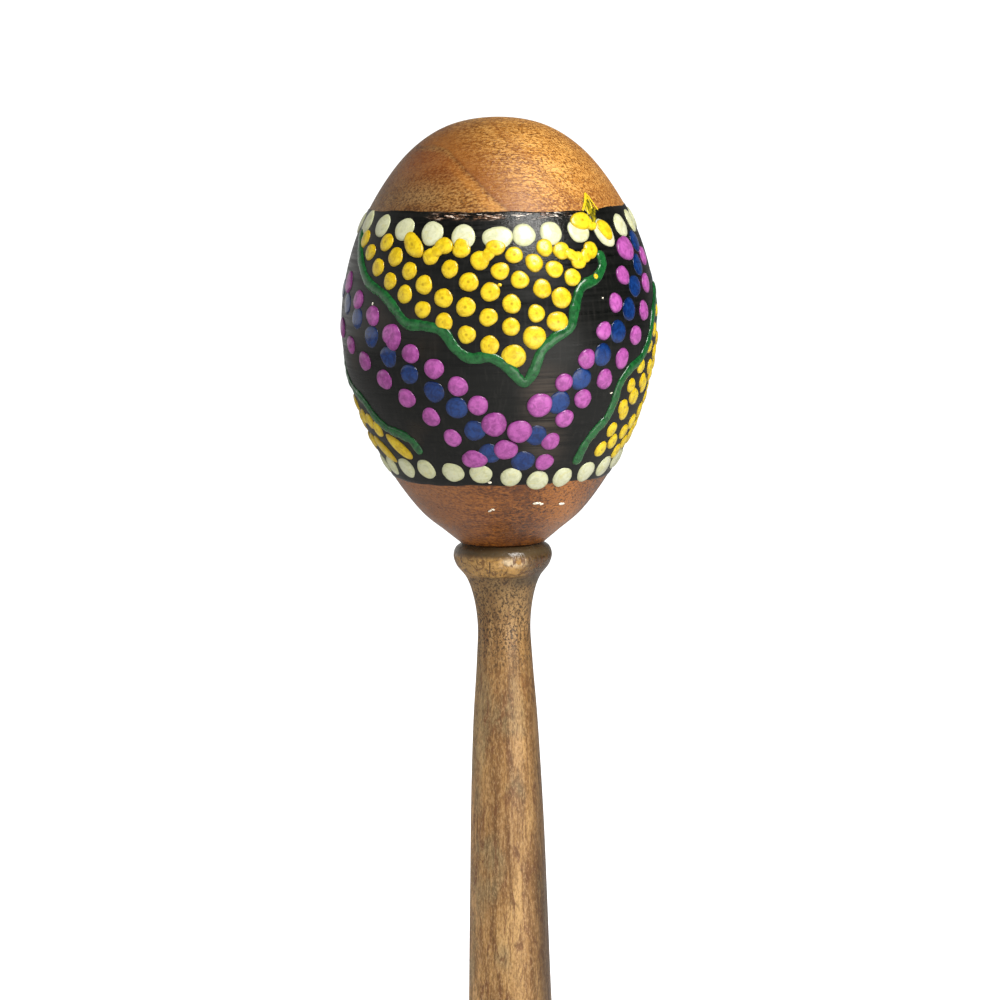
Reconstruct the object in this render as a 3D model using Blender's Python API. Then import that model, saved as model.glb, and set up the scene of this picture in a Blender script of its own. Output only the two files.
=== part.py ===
"""Hand-painted wooden maraca, standing upright on the flat end of its handle.

The egg-shaped head is two turned shells, which meet in a rebated joint at the widest place. The handle's
tenon is glued into a socket in the lower shell and closes the chamber, and loose dry seeds lie in it.

Frame: metres, +Z along the maraca's axis from the handle towards the head, and the origin at the centre of
the handle's flat end.
"""

from math import asin, cos, floor, pi, radians, sin, sqrt

import bmesh
import bpy

MM = 0.001

# Driving dimensions, in millimetres.
HANDLE_TOP = 130.2  # the shoulder that the head sits on
HEAD_TOP = 215.0
JOINT_HEIGHT = 173.5  # where the two shells meet, at the head's widest place
HEAD_RADIUS = 31.2
CAVITY_RADIUS = 27.2
CAVITY_TOP = 211.0
CAVITY_FLOOR = 139.6
LIP_RADIUS = 29.0  # the lower shell's locating lip, inside the upper shell
LIP_HEIGHT = 4.0
TENON_RADIUS = 4.5
TENON_TOP = 140.6
END_RADIUS = 6.8  # the flat that the maraca stands on
SEED_RADIUS = 2.8
GAP = 0.3  # between pieces that touch

# Half outlines as (radius, height) in millimetres, from the top down. A smooth curve runs through each.
HEAD_OUTLINE = [
    (0.0, HEAD_TOP),
    (9.5, 213.4),
    (17.3, 208.3),
    (24.9, 198.0),
    (29.4, 187.0),
    (HEAD_RADIUS, JOINT_HEIGHT),
    (28.8, 160.0),
    (23.2, 147.0),
    (16.2, 137.0),
    (11.4, 132.9),
    (8.5, HANDLE_TOP + GAP),
]
CAVITY_OUTLINE = [
    (0.0, CAVITY_TOP),
    (8.2, 209.5),
    (15.0, 205.0),
    (21.4, 196.1),
    (25.5, 186.0),
    (CAVITY_RADIUS, JOINT_HEIGHT),
    (25.0, 161.1),
    (19.6, 149.0),
    (13.0, 142.0),
    (TENON_RADIUS + GAP, CAVITY_FLOOR),
]
HANDLE_OUTLINE = [
    (8.2, HANDLE_TOP),
    (9.35, 129.4),
    (9.85, 127.8),
    (9.3, 125.9),
    (7.4, 123.4),
    (6.1, 119.8),
    (5.3, 114.0),
    (5.6, 106.5),
    (6.5, 94.3),
    (7.3, 77.0),
    (7.8, 58.5),
    (8.3, 40.0),
    (8.9, 22.0),
    (9.1, 12.0),
    (8.6, 4.0),
    (END_RADIUS + 1.0, 1.0),
    (END_RADIUS, 0.0),
]

HEAD_STEPS = 4  # facets between two outline points
HANDLE_STEPS = 3
SEGMENTS = 48  # facets around a turned piece
WELD = 1e-7
SHARP_ANGLE = radians(50)


def clear_scene():
    for thing in list(bpy.data.objects):
        bpy.data.objects.remove(thing)


def finish(name, colour, roughness):
    """A plain finish: colour is linear red, green and blue."""
    made = bpy.data.materials.new(name)
    made.use_nodes = True
    shader = made.node_tree.nodes["Principled BSDF"]
    shader.inputs["Base Color"].default_value = (*colour, 1.0)
    shader.inputs["Roughness"].default_value = roughness
    shader.inputs["Metallic"].default_value = 0.0
    return made


def between(start, end, t0, t1, t):
    """The point at t on the straight line through start at t0 and end at t1."""
    share = (t - t0) / (t1 - t0)
    return tuple(a + (b - a) * share for a, b in zip(start, end))


def smooth_curve(points, steps):
    """A centripetal Catmull-Rom curve through the points. One that starts on the axis crosses it level."""
    first, second = points[0], points[1]
    if first[0] == 0:
        before = (-second[0], second[1])
    else:
        before = between(first, second, 0, 1, -1)
    after = between(points[-2], points[-1], 0, 1, 2)
    guide = [before, *points, after]
    curve = []
    for p0, p1, p2, p3 in zip(guide, guide[1:], guide[2:], guide[3:]):
        t0 = 0.0
        t1 = t0 + sqrt(sqrt((p1[0] - p0[0]) ** 2 + (p1[1] - p0[1]) ** 2))
        t2 = t1 + sqrt(sqrt((p2[0] - p1[0]) ** 2 + (p2[1] - p1[1]) ** 2))
        t3 = t2 + sqrt(sqrt((p3[0] - p2[0]) ** 2 + (p3[1] - p2[1]) ** 2))
        for step in range(steps):
            t = t1 + (t2 - t1) * step / steps
            a = between(p0, p1, t0, t1, t)
            b = between(p1, p2, t1, t2, t)
            c = between(p2, p3, t2, t3, t)
            curve.append(between(between(a, b, t0, t2, t), between(b, c, t1, t3, t), t1, t2, t))
    return [*curve, points[-1]]


def radius_at(curve, height):
    """The curve's radius at a height, on a curve that runs from the top down."""
    for upper, lower in zip(curve, curve[1:]):
        if upper[1] >= height >= lower[1]:
            return between(upper, lower, upper[1], lower[1], height)[0]
    raise ValueError(f"the curve doesn't reach a height of {height} mm")


def above(curve, height):
    """The part of a curve above a height, ending at that height."""
    return [p for p in curve if p[1] > height] + [(radius_at(curve, height), height)]


def below(curve, height):
    """The part of a curve below a height, starting at that height."""
    return [(radius_at(curve, height), height)] + [p for p in curve if p[1] < height]


def turned(name, outline, material, ring=False):
    """A solid turned about the Z axis from its half outline. A ring's outline closes on itself."""
    shape = bmesh.new()
    corners = [shape.verts.new((radius * MM, 0, height * MM)) for radius, height in outline]
    edges = [shape.edges.new(pair) for pair in zip(corners, corners[1:])]
    if ring:
        edges.append(shape.edges.new((corners[-1], corners[0])))
    bmesh.ops.spin(
        shape, geom=corners + edges, cent=(0, 0, 0), axis=(0, 0, 1), angle=2 * pi, steps=SEGMENTS
    )
    bmesh.ops.remove_doubles(shape, verts=shape.verts, dist=WELD)
    bmesh.ops.recalc_face_normals(shape, faces=shape.faces)
    mesh = bpy.data.meshes.new(name)
    shape.to_mesh(mesh)
    shape.free()
    mesh.shade_smooth()
    mesh.set_sharp_from_angle(angle=SHARP_ANGLE)
    mesh.materials.append(material)
    return placed(name, mesh)


def placed(name, mesh, location=(0, 0, 0), rotation=(0, 0, 0)):
    made = bpy.data.objects.new(name, mesh)
    bpy.context.scene.collection.objects.link(made)
    made.location = location
    made.rotation_euler = rotation
    return made


def upper_shell(wood):
    """The crown of the head, with a recess in its rim for the lower shell's lip."""
    outer = above(smooth_curve(HEAD_OUTLINE, HEAD_STEPS), JOINT_HEIGHT + GAP / 2)
    recess_top = JOINT_HEIGHT + LIP_HEIGHT + GAP
    recess = [(LIP_RADIUS + GAP, JOINT_HEIGHT + GAP / 2), (LIP_RADIUS + GAP, recess_top)]
    inner = above(smooth_curve(CAVITY_OUTLINE, HEAD_STEPS), recess_top)
    return turned("upper_shell", outer + recess + inner[::-1], wood)


def lower_shell(wood):
    """The bowl of the head, with a lip around its mouth and a socket through its foot."""
    outer = below(smooth_curve(HEAD_OUTLINE, HEAD_STEPS), JOINT_HEIGHT - GAP / 2)
    inner = below(smooth_curve(CAVITY_OUTLINE, HEAD_STEPS), JOINT_HEIGHT + LIP_HEIGHT)
    socket = [(TENON_RADIUS + GAP, HANDLE_TOP + GAP)]
    lip = [(LIP_RADIUS, JOINT_HEIGHT + LIP_HEIGHT), (LIP_RADIUS, JOINT_HEIGHT - GAP / 2)]
    return turned("lower_shell", outer + socket + inner[::-1] + lip, wood, ring=True)


def handle(wood):
    """The turned handle: a tenon, a shoulder over a bead, a slim neck, and a grip that swells to a flat end."""
    chamfer = 0.8
    tenon = [
        (0.0, TENON_TOP),
        (TENON_RADIUS - chamfer, TENON_TOP),
        (TENON_RADIUS, TENON_TOP - chamfer),
        (TENON_RADIUS, HANDLE_TOP),
    ]
    body = smooth_curve(HANDLE_OUTLINE, HANDLE_STEPS)
    return turned("handle", [*tenon, *body, (0.0, 0.0)], wood)


def resting_height(distance):
    """The height of a seed's centre where it rests on the chamber's floor, at a distance from the axis."""
    reach = SEED_RADIUS + GAP
    if distance < TENON_RADIUS:
        return TENON_TOP + reach
    floor_line = below(smooth_curve(CAVITY_OUTLINE, 12), JOINT_HEIGHT)
    near = [(r, z) for r, z in floor_line if abs(r - distance) < reach]
    return max(z + sqrt(reach**2 - (r - distance) ** 2) for r, z in near)


def seed_places():
    """Each seed's (distance from the axis, angle around it): one on the tenon, and two full rings about it."""
    pitch = 2 * SEED_RADIUS + 0.2
    places = [(0.0, 0.0)]
    for ring in (1, 2):
        distance = ring * pitch + TENON_RADIUS + SEED_RADIUS + GAP - pitch
        count = floor(pi / asin(pitch / 2 / distance))
        places += [(distance, 2 * pi * n / count) for n in range(count)]
    return places


def seed_mesh(material):
    """A hard round seed, a little flattened, whose furthest point from its centre is the seed's radius."""
    flattening = 0.9
    mesh = bpy.data.meshes.new("seed")
    shape = bmesh.new()
    bmesh.ops.create_icosphere(shape, subdivisions=2, radius=SEED_RADIUS * MM)
    bmesh.ops.scale(shape, vec=(1, 1, flattening), verts=shape.verts)
    shape.to_mesh(mesh)
    shape.free()
    mesh.shade_smooth()
    mesh.materials.append(material)
    return mesh


def loose_seeds(material):
    """The rattling seeds, each its own object on a shared mesh, turned so that no two lie alike."""
    mesh = seed_mesh(material)
    group = placed("seeds", None)
    for number, (distance, angle) in enumerate(seed_places(), start=1):
        location = (distance * cos(angle), distance * sin(angle), resting_height(distance))
        turn = (number * radians(137.5), number * radians(61.0), 0)
        seed = placed(f"seed_{number:02d}", mesh, [axis * MM for axis in location], turn)
        seed.parent = group


def main():
    clear_scene()
    head_wood = finish("head_wood", (0.45, 0.20, 0.065), 0.35)
    handle_wood = finish("handle_wood", (0.36, 0.22, 0.11), 0.4)
    seed_skin = finish("seed_skin", (0.03, 0.018, 0.012), 0.3)
    upper_shell(head_wood)
    lower_shell(head_wood)
    handle(handle_wood)
    loose_seeds(seed_skin)


main()
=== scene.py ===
"""Looks of the hand-painted wooden maraca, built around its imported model.

Everything is in metres, in the model's frame: +Z along the maraca, and the pattern's front faces -Y.
The head's and the handle's outlines are written in millimetres, as (radius, height). Places on the head
are (degrees round from the front, anticlockwise from above; height in millimetres).
"""

import random
from functools import reduce
from math import ceil, cos, dist, exp, pi, radians, sin, sqrt

import bmesh
import bpy
import numpy as np
from mathutils import Matrix, Vector


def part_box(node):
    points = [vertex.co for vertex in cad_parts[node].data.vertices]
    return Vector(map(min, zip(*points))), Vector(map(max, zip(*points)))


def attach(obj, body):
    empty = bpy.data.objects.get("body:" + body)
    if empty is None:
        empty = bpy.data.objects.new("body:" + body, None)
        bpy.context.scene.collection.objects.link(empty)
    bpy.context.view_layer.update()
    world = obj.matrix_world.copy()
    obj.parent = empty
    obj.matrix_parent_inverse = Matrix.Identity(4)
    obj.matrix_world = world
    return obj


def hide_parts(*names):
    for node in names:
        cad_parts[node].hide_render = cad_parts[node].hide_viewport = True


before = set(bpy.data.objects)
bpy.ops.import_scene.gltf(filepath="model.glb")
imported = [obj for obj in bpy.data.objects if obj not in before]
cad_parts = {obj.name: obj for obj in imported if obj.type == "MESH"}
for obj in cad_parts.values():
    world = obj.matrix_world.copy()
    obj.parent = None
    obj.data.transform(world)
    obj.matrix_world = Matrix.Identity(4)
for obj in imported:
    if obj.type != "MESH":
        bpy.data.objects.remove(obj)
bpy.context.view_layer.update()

MM = 0.001
INSTRUMENT = "instrument"

# ---- Outlines, in millimetres. They are the CAD model's.

HEAD_OUTLINE = [
    (0.0, 215.0), (9.5, 213.4), (17.3, 208.3), (24.9, 198.0), (29.4, 187.0), (31.2, 173.5),
    (28.8, 160.0), (23.2, 147.0), (16.2, 137.0), (11.4, 132.9), (8.5, 130.5),
]
CAVITY_OUTLINE = [
    (0.0, 211.0), (8.2, 209.5), (15.0, 205.0), (21.4, 196.1), (25.5, 186.0), (27.2, 173.5),
    (25.0, 161.1), (19.6, 149.0), (13.0, 142.0), (4.8, 139.6),
]
HANDLE_OUTLINE = [
    (8.2, 130.2), (9.35, 129.4), (9.85, 127.8), (9.3, 125.9), (7.4, 123.4), (6.1, 119.8),
    (5.3, 114.0), (5.6, 106.5), (6.5, 94.3), (7.3, 77.0), (7.8, 58.5), (8.3, 40.0), (8.9, 22.0),
    (9.1, 12.0), (8.6, 4.0), (7.8, 1.0), (6.8, 0.0),
]
JOINT = 173.5  # where the shells meet
GAP = 0.3  # between pieces that touch
LIP_RADIUS, LIP_HEIGHT = 29.0, 4.0
TENON_RADIUS, TENON_TOP = 4.5, 140.6
HANDLE_TOP = 130.2

# Steps of a smooth curve from one of its points to the next.
SURFACE_STEPS, SHELL_STEPS, CHAMBER_STEPS, HANDLE_STEPS = 24, 14, 6, 12
GUIDE_STEPS = 12

BAND_TOP, BAND_BOTTOM = 197.4, 144.2
PAINT = 0.12  # the black band's thickness, and how far below the wood its hidden inside is
SUNK = 0.15  # how far below the wood a dab or trail has its hidden underside
PATTERN_RADIUS = 28.0  # the head's rough radius under the pattern

# ---- Curves and the head's surface


def between(start, end, t0, t1, t):
    """The point at t on the straight line through start at t0 and end at t1."""
    share = (t - t0) / (t1 - t0)
    return tuple(a + (b - a) * share for a, b in zip(start, end))


def smooth_curve(points, steps):
    """A centripetal Catmull-Rom curve through points. One that starts on the axis crosses it level."""
    first, second = points[0], points[1]
    before = (-second[0], second[1]) if first[0] == 0 else between(first, second, 0, 1, -1)
    after = between(points[-2], points[-1], 0, 1, 2)
    guide = [before, *points, after]
    curve = []
    for p0, p1, p2, p3 in zip(guide, guide[1:], guide[2:], guide[3:]):
        t0 = 0.0
        t1 = t0 + sqrt(dist(p0, p1))
        t2 = t1 + sqrt(dist(p1, p2))
        t3 = t2 + sqrt(dist(p2, p3))
        for step in range(steps):
            t = t1 + (t2 - t1) * step / steps
            a = between(p0, p1, t0, t1, t)
            b = between(p1, p2, t1, t2, t)
            c = between(p2, p3, t2, t3, t)
            curve.append(between(between(a, b, t0, t2, t), between(b, c, t1, t3, t), t1, t2, t))
    return [*curve, points[-1]]


def at_height(curve, height):
    """The point at a height, on a curve that runs from the top down."""
    for upper, lower in zip(curve, curve[1:]):
        if upper[1] >= height >= lower[1]:
            return (between(upper, lower, upper[1], lower[1], height)[0], height)
    raise ValueError(f"no such height: {height}")


def above(curve, height):
    return [p for p in curve if p[1] > height] + [at_height(curve, height)]


def below(curve, height):
    return [at_height(curve, height)] + [p for p in curve if p[1] < height]


def running_length(points):
    """How far along a line of points each one is."""
    steps = np.diff(points, axis=0)
    return np.concatenate([[0.0], np.cumsum(np.hypot(steps[:, 0], steps[:, 1]))])


class HeadSurface:
    """The head's outer surface, by degrees round it and millimetres up it."""

    def __init__(self):
        curve = np.array(smooth_curve(HEAD_OUTLINE, SURFACE_STEPS))[::-1]
        self.radius, self.height = curve[:, 0], curve[:, 1]
        self.run = running_length(curve)
        slope = np.gradient(curve, axis=0)
        self.tilt = np.arctan2(-slope[:, 0], slope[:, 1])

    def place(self, around, height, proud=0.0):
        """Points in metres, proud of the surface by so many millimetres."""
        around, height, proud = np.broadcast_arrays(np.radians(around), height, proud)
        radius = np.interp(height, self.height, self.radius)
        tilt = np.interp(height, self.height, self.tilt)
        out = radius + proud * np.cos(tilt)
        up = height + proud * np.sin(tilt)
        return np.stack([out * np.sin(around), -out * np.cos(around), up], axis=-1) * MM

    def shift(self, around, height, right, up):
        """The place reached by going so many millimetres right and up along the surface."""
        run = np.interp(height, self.height, self.run) + up
        new_height = np.interp(run, self.run, self.height)
        radius = np.interp(new_height, self.height, self.radius)
        return around + np.degrees(right / radius), new_height

    def flat(self, around, height):
        """Rough millimetres right and up, for measuring along a line on the surface."""
        along = np.radians(around) * PATTERN_RADIUS
        return np.stack([along, np.interp(height, self.height, self.run)], axis=-1)


HEAD = HeadSurface()

# ---- Meshes


def linked(name, data):
    made = bpy.data.objects.new(name, data)
    bpy.context.scene.collection.objects.link(made)
    return made


def add_object(name, points, faces, material, attributes=None, sharp=None):
    mesh = bpy.data.meshes.new(name)
    mesh.from_pydata(points, [], faces)
    mesh.validate()
    for key, values in (attributes or {}).items():
        layer = mesh.attributes.new(key, "FLOAT", "POINT")
        layer.data.foreach_set("value", values)
    mesh.shade_smooth()
    if sharp:
        mesh.set_sharp_from_angle(angle=radians(sharp))
    mesh.materials.append(material)
    return linked(name, mesh)


def grid_faces(rows, columns, closed_rows, start=0):
    """Quads between closed rows of points, and from the last row to the first if closed_rows."""
    faces = []
    for row in range(rows if closed_rows else rows - 1):
        lower, upper = start + row * columns, start + (row + 1) % rows * columns
        for column in range(columns):
            beside = (column + 1) % columns
            faces.append((lower + column, lower + beside, upper + beside, upper + column))
    return faces


def turned(name, outline, material, segments=192, ring=False, wander=None):
    """A turned body from its half outline, in millimetres. wander(angle, height) moves a point out."""
    points, faces, rows = [], [], []
    for radius, height in outline:
        if radius == 0:
            rows.append([len(points)])
            points.append((0.0, 0.0, height * MM))
            continue
        rows.append(list(range(len(points), len(points) + segments)))
        for segment in range(segments):
            angle = 2 * pi * segment / segments
            out = radius + (wander(angle, height) if wander else 0.0)
            points.append((out * sin(angle) * MM, -out * cos(angle) * MM, height * MM))
    pairs = list(zip(rows, rows[1:]))
    if ring:
        pairs.append((rows[-1], rows[0]))
    for upper, lower in pairs:
        for segment in range(segments):
            beside = (segment + 1) % segments
            if len(upper) == 1:
                faces.append((upper[0], lower[segment], lower[beside]))
            elif len(lower) == 1:
                faces.append((upper[segment], lower[0], upper[beside]))
            else:
                faces.append((upper[segment], lower[segment], lower[beside], upper[beside]))
    return add_object(name, points, faces, material, sharp=50)


class Relief:
    """Raised paint of one colour, gathered into one mesh of many closed blobs and ridges."""

    def __init__(self):
        self.points, self.faces, self.tone, self.rim = [], [], [], []
        self.count = 0

    def add(self, points, faces, tone, rim):
        self.points.append(points)
        self.faces += [tuple(self.count + corner for corner in face) for face in faces]
        self.tone.append(np.full(len(points), tone))
        self.rim.append(rim)
        self.count += len(points)

    def build(self, name, material):
        attributes = {"tone": np.concatenate(self.tone), "rim": np.concatenate(self.rim)}
        return add_object(name, np.concatenate(self.points).tolist(), self.faces, material, attributes)


# A dab's rings, as shares of its radius, and the points round each ring.
RINGS = (0.12, 0.28, 0.45, 0.62, 0.76, 0.87, 0.95, 1.0)
SPOKES = 28
DAB_WAVES = ((2, 0.045), (3, 0.04), (5, 0.018))  # lobes round the outline, and their depth
DAB_SQUARENESS = 2.4  # 2 is a half ball, and more has a flatter top and steeper sides
PEAK = (-0.16, 0.2)  # how far its middle stands up, at least and at most, in thicknesses
PEAK_REACH = 0.22  # of the dab's radius
DAB_LEAN = 0.16  # how much thicker one side of its rim is
# A trail's waves along its length: radians to the millimetre, and depth as a share of its width.
TRAIL_WAVES = ((0.9, 0.10), (2.1, 0.07), (4.3, 0.04))
TRAIL_SWELL = 1.2  # how much more its thickness varies than its width
TRAIL_COLUMNS = 13  # points across its back
TRAIL_SQUARENESS = 2.3
TRAIL_TIP = 0.02  # keeps its ends blunt
TRAIL_TONE = 0.5
SMOOTHING = 5  # places over which a trail's heading is averaged


def dab(relief, place, size, thickness, rng, lift=0.0, turn=0.0):
    """One dot of thick paint, size (width, height) in millimetres: a soft dome with a wavy outline."""
    angles = np.linspace(0, 2 * pi, SPOKES, endpoint=False)
    wobble = 1 + sum(
        rng.uniform(0.3, 1) * depth * np.cos(lobes * angles + rng.uniform(0, 2 * pi))
        for lobes, depth in DAB_WAVES
    )
    peak = rng.uniform(*PEAK)
    lean = rng.uniform(0, 2 * pi)
    rings, heights, rims = [], [], []
    for ring in RINGS:
        across = ring * wobble * size[0] / 2 * np.cos(angles)
        along = ring * wobble * size[1] / 2 * np.sin(angles)
        rings.append((across * cos(turn) - along * sin(turn), across * sin(turn) + along * cos(turn)))
        dome = sqrt(1 - min(ring, 0.999) ** DAB_SQUARENESS) + peak * exp(-((ring / PEAK_REACH) ** 2))
        uneven = 1 + DAB_LEAN * ring * np.cos(angles - lean)
        heights.append(lift + thickness * dome * uneven)
        rims.append(np.full(SPOKES, ring))
    rings.append(rings[-1])
    heights.append(np.full(SPOKES, -PAINT - SUNK))
    rims.append(np.full(SPOKES, 1.0))
    right = np.concatenate([[0.0], *[r[0] for r in rings], [0.0]])
    up = np.concatenate([[0.0], *[r[1] for r in rings], [0.0]])
    proud = np.concatenate([[lift + thickness * (1 + peak)], *heights, [-PAINT - SUNK]]) + PAINT
    rim = np.concatenate([[0.0], *rims, [1.0]])
    around, height = HEAD.shift(place[0], place[1], right, up)
    points = HEAD.place(around, height, proud)
    faces = [(0, 1 + n, 1 + (n + 1) % SPOKES) for n in range(SPOKES)]
    faces += [tuple(reversed(face)) for face in grid_faces(len(rings), SPOKES, False, start=1)]
    last, end = 1 + (len(rings) - 1) * SPOKES, len(points) - 1
    faces += [(last + (n + 1) % SPOKES, last + n, end) for n in range(SPOKES)]
    # No two are quite as pale, and painted light makes them paler to the right.
    tone = 0.55 * rng.random() + 0.22 * (1 + sin(radians(place[0])))
    relief.add(points, faces, tone, rim)


def measured(guide):
    """The smooth line through guide places: (degrees, heights), and the way along it."""
    line = np.array(smooth_curve(guide, GUIDE_STEPS)).T
    return line, running_length(HEAD.flat(*line))


def even_spots(guide, count, ease=1.0):
    """So many places along the smooth line through guide places, evenly spaced where ease is 1."""
    line, run = measured(guide)
    wanted = run[-1] * np.linspace(0, 1, count) ** ease
    return list(zip(*(np.interp(wanted, run, part) for part in line)))


def ridge(relief, guide, width, thickness, rng, step=0.35):
    """A trail of thick paint along guide places: half round, uneven in width, and with round ends."""
    line, run = measured(guide)
    wanted = np.linspace(0, run[-1], ceil(run[-1] / step))
    around, height = (np.interp(wanted, run, part) for part in line)
    heading = np.gradient(HEAD.flat(around, height), axis=0)
    padded = np.pad(heading, ((SMOOTHING // 2, SMOOTHING // 2), (0, 0)), "edge")
    kernel = np.ones(SMOOTHING) / SMOOTHING
    heading = np.stack([np.convolve(part, kernel, "valid") for part in padded.T], axis=1)
    heading /= np.hypot(heading[:, 0], heading[:, 1])[:, None]
    end = np.minimum(wanted, run[-1] - wanted) / (width / 2)
    rounding = np.sqrt(1 - (1 - np.clip(end, TRAIL_TIP, 1)) ** 2)
    waves = sum(
        rng.uniform(0.5, 1) * depth * np.sin(wanted * rate + rng.uniform(0, 6.3))
        for rate, depth in TRAIL_WAVES
    )
    half = width / 2 * (1 + waves) * rounding
    spread = np.cos(np.linspace(0, pi, TRAIL_COLUMNS))
    crown = np.sqrt(np.clip(1 - np.abs(spread) ** TRAIL_SQUARENESS, 0, 1))
    points, rims = [], []
    for k in range(len(wanted)):
        right = -heading[k, 1] * spread * half[k]
        up = heading[k, 0] * spread * half[k]
        proud = PAINT + thickness * (1 + TRAIL_SWELL * waves[k]) * rounding[k] * crown
        right = np.concatenate([right, right[::-1][[0, -1]]])
        up = np.concatenate([up, up[::-1][[0, -1]]])
        proud = np.concatenate([proud, [-SUNK, -SUNK]])
        spots = HEAD.shift(around[k], height[k], right, up)
        points.append(HEAD.place(spots[0], spots[1], proud))
        rims.append(np.concatenate([np.abs(spread), [1.0, 1.0]]))
    size = TRAIL_COLUMNS + 2
    faces = grid_faces(len(wanted), size, False)
    faces.append(tuple(reversed(range(size))))
    faces.append(tuple((len(wanted) - 1) * size + n for n in range(size)))
    relief.add(np.concatenate(points), faces, TRAIL_TONE, np.concatenate(rims))


# ---- Node materials


def add(tree, kind, inputs=None, **settings):
    """A node with its settings, and its inputs set to constants or linked from other nodes' sockets."""
    made = tree.nodes.new(kind)
    for key, value in settings.items():
        setattr(made, key, value)
    for key, value in (inputs or {}).items():
        if isinstance(value, bpy.types.NodeSocket):
            tree.links.new(value, made.inputs[key])
        else:
            made.inputs[key].default_value = value
    return made


def map_range(tree, value, low, high, new_low, new_high, kind="LINEAR"):
    """Goes from new_low to new_high as value goes from low to high, and no further."""
    inputs = {0: value, 1: low, 2: high, 3: new_low, 4: new_high}
    return add(tree, "ShaderNodeMapRange", inputs, interpolation_type=kind).outputs[0]


def empty_tree(owner):
    owner.use_nodes = True
    owner.node_tree.nodes.clear()
    return owner.node_tree


def rgb(red, green, blue):
    """A colour given in sRGB from 0 to 255."""
    parts = [value / 255 for value in (red, green, blue)]
    linear = [part / 12.92 if part <= 0.0404 else ((part + 0.055) / 1.055) ** 2.4 for part in parts]
    return (*linear, 1.0)


class Look:
    """A Principled material and short ways of making its nodes. Colours are sRGB."""

    def __init__(self, name):
        self.material = bpy.data.materials.new(name)
        self.material.use_nodes = True
        self.tree = self.material.node_tree
        self.shader = self.tree.nodes["Principled BSDF"]
        self.where = add(self.tree, "ShaderNodeTexCoord").outputs["Object"]
        self.tone = None  # the base colour so far

    def noise(self, scale, shift=(0, 0, 0), detail=4.0, roughness=0.55, distortion=0.0):
        """Noise in the object's own coordinates, with a scale for each axis."""
        inputs = {"Vector": self.where, "Scale": scale, "Location": shift}
        mapped = add(self.tree, "ShaderNodeMapping", inputs).outputs[0]
        inputs = {"Vector": mapped, "Scale": 1, "Detail": detail, "Roughness": roughness}
        return add(self.tree, "ShaderNodeTexNoise", inputs | {"Distortion": distortion}).outputs[0]

    def ramp(self, value, *stops):
        """Starts the tone with a ramp; each stop is (place, colour)."""
        made = add(self.tree, "ShaderNodeValToRGB", {0: value})
        elements = made.color_ramp.elements
        while len(elements) < len(stops):
            elements.new(0.5)
        for element, (place, colour) in zip(elements, stops):
            element.position = place
            element.color = rgb(*colour)
        self.tone = made.outputs[0]

    def span(self, value, low, high, new_low=0.0, new_high=1.0):
        return map_range(self.tree, value, low, high, new_low, new_high, "SMOOTHSTEP")

    def math(self, kind, first, second=0.0, third=0.0):
        inputs = {0: first, 1: second, 2: third}
        return add(self.tree, "ShaderNodeMath", inputs, operation=kind).outputs[0]

    def product(self, *values):
        return reduce(lambda made, value: self.math("MULTIPLY", made, value), values)

    def sum(self, *values):
        return reduce(lambda made, value: self.math("ADD", made, value), values)

    def less(self, first, second):
        return self.math("SUBTRACT", first, second)

    def strip(self, value, low, high, soft):
        """1 between low and high, falling to 0 over the soft width at each end."""
        rise = self.span(value, low - soft, low + soft)
        return self.product(rise, self.span(value, high + soft, high - soft))

    def mix(self, share, colour, blend="MIX"):
        inputs = {0: share, 6: self.tone, 7: colour}
        mixed = add(self.tree, "ShaderNodeMix", inputs, data_type="RGBA", blend_type=blend)
        self.tone = mixed.outputs[2]

    def over(self, colour, *shares):
        """Lays the colour over the tone by the product of the shares."""
        self.mix(self.product(*shares), rgb(*colour))

    def tint(self, value, low, high, share, colour):
        """Lays up to so much share of the colour over the tone as value goes from low to high."""
        self.mix(self.span(value, low, high, 0.0, share), rgb(*colour))

    def shade(self, value, low, high, factors):
        """Multiplies the tone's red, green and blue by the factors as value goes from low to high."""
        self.mix(self.span(value, low, high), (*factors, 1), blend="MULTIPLY")

    def patch(self, x, x_ends, z, z_ends):
        """1 in a rectangle, falling to 0 round it: each one's ends are (low, high, soft)."""
        return self.product(self.strip(x, *x_ends), self.strip(z, *z_ends))

    def attribute(self, name):
        return add(self.tree, "ShaderNodeAttribute", attribute_name=name).outputs["Fac"]

    def split(self):
        return add(self.tree, "ShaderNodeSeparateXYZ", {0: self.where}).outputs

    def bump(self, height, distance, strength=1.0):
        inputs = {"Height": height, "Distance": distance, "Strength": strength}
        self.set(Normal=add(self.tree, "ShaderNodeBump", inputs).outputs[0])

    def set(self, **inputs):
        for key, value in inputs.items():
            socket = self.shader.inputs[key.replace("_", " ")]
            if isinstance(value, bpy.types.NodeSocket):
                self.tree.links.new(value, socket)
            else:
                socket.default_value = value
        return self.material

    def coated(self, rough, specular, coat, coat_roughness):
        """The tone, under a clear coat."""
        self.set(Base_Color=self.tone, Roughness=rough, Specular_IOR_Level=specular)
        return self.set(Coat_Weight=coat, Coat_Roughness=coat_roughness)


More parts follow.
